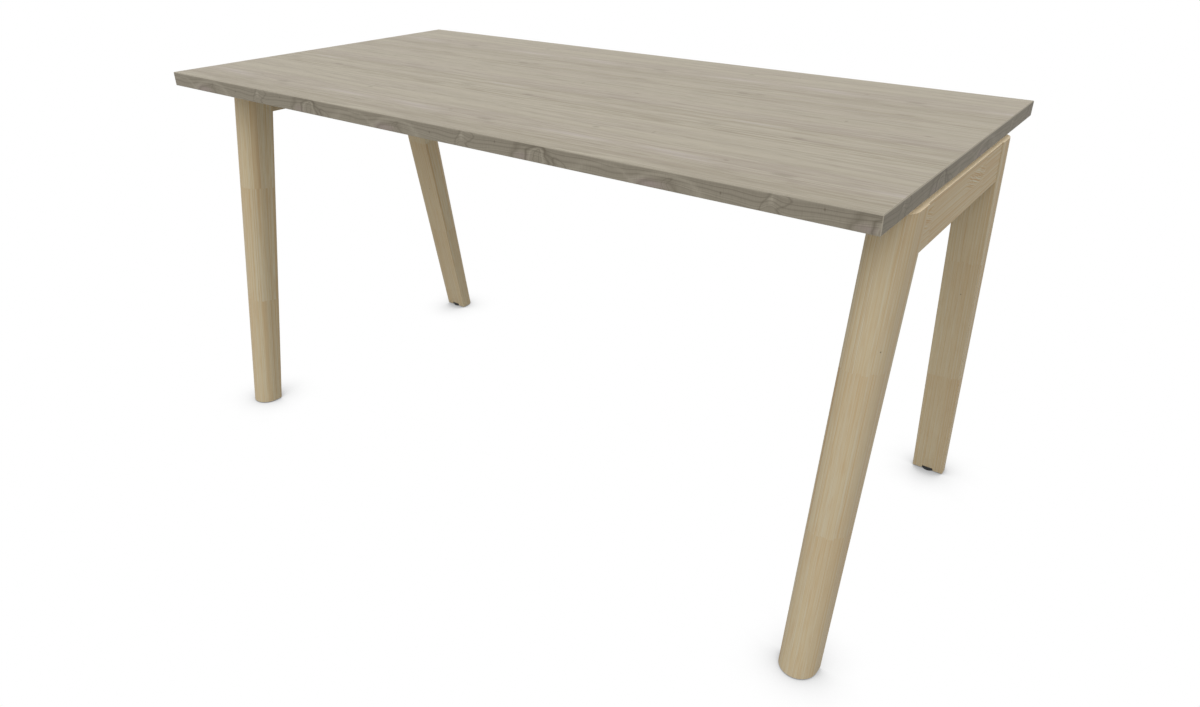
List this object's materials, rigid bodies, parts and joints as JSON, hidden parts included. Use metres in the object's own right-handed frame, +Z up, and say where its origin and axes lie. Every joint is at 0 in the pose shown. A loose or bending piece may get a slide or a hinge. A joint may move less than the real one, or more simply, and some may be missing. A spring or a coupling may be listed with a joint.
{
  "type": "writing desk",
  "caption": "Rectangular writing desk: a thin wood-grain board top floats on two splayed end frames with tapered round-nosed timber legs, a rail each, and recessed levelling feet.",
  "frame": {"origin": "on the floor, under the middle of the top", "axes": "+X along the desk to the user's right, +Y away from the user, +Z up"},
  "size_m": [1.403, 0.708, 0.739],
  "materials": {
    "board": "melamine-faced chipboard, greige wood-grain print, matt",
    "edge_band": "2 mm ABS edge band, matching wood-grain print",
    "timber": "finger-jointed ash staves, clear matt lacquer",
    "powder_coat": "black fine-texture powder coat",
    "black_plastic": "moulded black polyamide",
    "zinc_steel": "bright zinc-plated steel"
  },
  "bodies": {
    "desk": {"top_board": "board", "edge_band_front": "edge_band", "edge_band_rear": "edge_band", "edge_band_left": "edge_band", "edge_band_right": "edge_band", "rail_left": "timber", "rail_right": "timber", "frame_dowels": "timber", "beam_front": "powder_coat", "beam_rear": "powder_coat", "beam_plate_bolts": "zinc_steel", "rail_inserts": "zinc_steel", "leg_inserts": "zinc_steel", "top_spacers": "black_plastic", "top_screws_rails": "zinc_steel", "top_screws_beams": "zinc_steel", "leg_front_left": "timber", "beam_plate_front_left": "powder_coat", "leg_rear_left": "timber", "beam_plate_rear_left": "powder_coat", "leg_front_right": "timber", "beam_plate_front_right": "powder_coat", "leg_rear_right": "timber", "beam_plate_rear_right": "powder_coat"},
    "foot_front_left": {"foot_pad_front_left": "black_plastic", "foot_stem_front_left": "zinc_steel"},
    "foot_rear_left": {"foot_pad_rear_left": "black_plastic", "foot_stem_rear_left": "zinc_steel"},
    "foot_front_right": {"foot_pad_front_right": "black_plastic", "foot_stem_front_right": "zinc_steel"},
    "foot_rear_right": {"foot_pad_rear_right": "black_plastic", "foot_stem_rear_right": "zinc_steel"}
  },
  "joints": [
    {"name": "foot_front_left_screw", "type": "slide", "parent": "desk", "child": "foot_front_left", "axis": [0, 0, -1], "range_m": [0, 0.01]},
    {"name": "foot_rear_left_screw", "type": "slide", "parent": "desk", "child": "foot_rear_left", "axis": [0, 0, -1], "range_m": [0, 0.01]},
    {"name": "foot_front_right_screw", "type": "slide", "parent": "desk", "child": "foot_front_right", "axis": [0, 0, -1], "range_m": [0, 0.01]},
    {"name": "foot_rear_right_screw", "type": "slide", "parent": "desk", "child": "foot_rear_right", "axis": [0, 0, -1], "range_m": [0, 0.01]}
  ]
}
